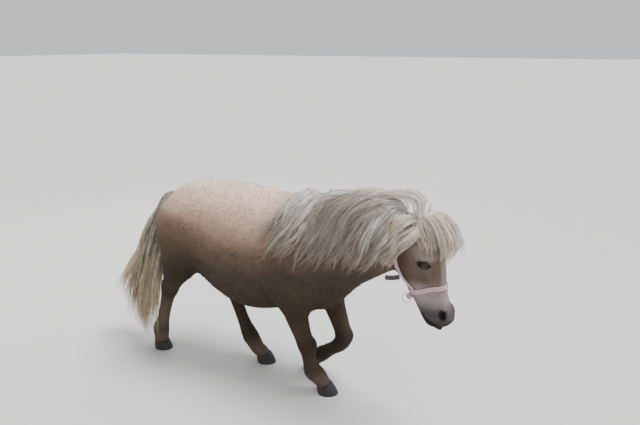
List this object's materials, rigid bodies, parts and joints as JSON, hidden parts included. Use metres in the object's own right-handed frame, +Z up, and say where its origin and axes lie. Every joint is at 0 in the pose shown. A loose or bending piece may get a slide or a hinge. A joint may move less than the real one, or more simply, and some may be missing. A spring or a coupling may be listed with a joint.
{
  "type": "shetland pony",
  "caption": "Life-size walking Shetland pony with a long wind-blown mane, forelock and tail, its head lowered and turned, wearing a webbing head collar.",
  "frame": {"origin": "on the ground, at the middle of the whole model's box seen from above", "axes": "+X to the pony's front, +Y to its left, +Z up"},
  "size_m": [1.9132, 0.4648, 1.016],
  "materials": {
    "coat_body": "short soft fur, warm tan over taupe",
    "coat_legs": "short dense taupe brown fur",
    "coat_head": "very short pale tan fur, grey muzzle",
    "mane": "long cream hair over short fur",
    "tail_hair": "long grey and cream hair",
    "hoof": "dull grey horn",
    "eye": "wet, dark",
    "halter_webbing": "woven webbing, dusty pink",
    "halter_dark_webbing": "woven webbing, dark plum",
    "halter_metal": "plated steel, a little dull"
  },
  "bodies": {
    "root": {"torso": "coat_body", "head": "coat_head", "neck": "mane", "tail": "tail_hair", "ear_right": "coat_head", "ear_left": "coat_head", "eye_right": "eye", "eye_left": "eye", "leg_fore_right": "coat_legs", "hoof_fore_right": "hoof", "leg_fore_left": "coat_legs", "hoof_fore_left": "hoof", "leg_hind_right": "coat_legs", "hoof_hind_right": "hoof", "leg_hind_left": "coat_legs", "hoof_hind_left": "hoof", "halter_noseband": "halter_webbing", "halter_headstrap": "halter_webbing", "halter_chin_strap": "halter_webbing", "halter_strap_end": "halter_dark_webbing", "halter_ring_right": "halter_metal", "halter_ring_left": "halter_metal", "halter_lead_ring": "halter_metal"}
  },
  "joints": []
}
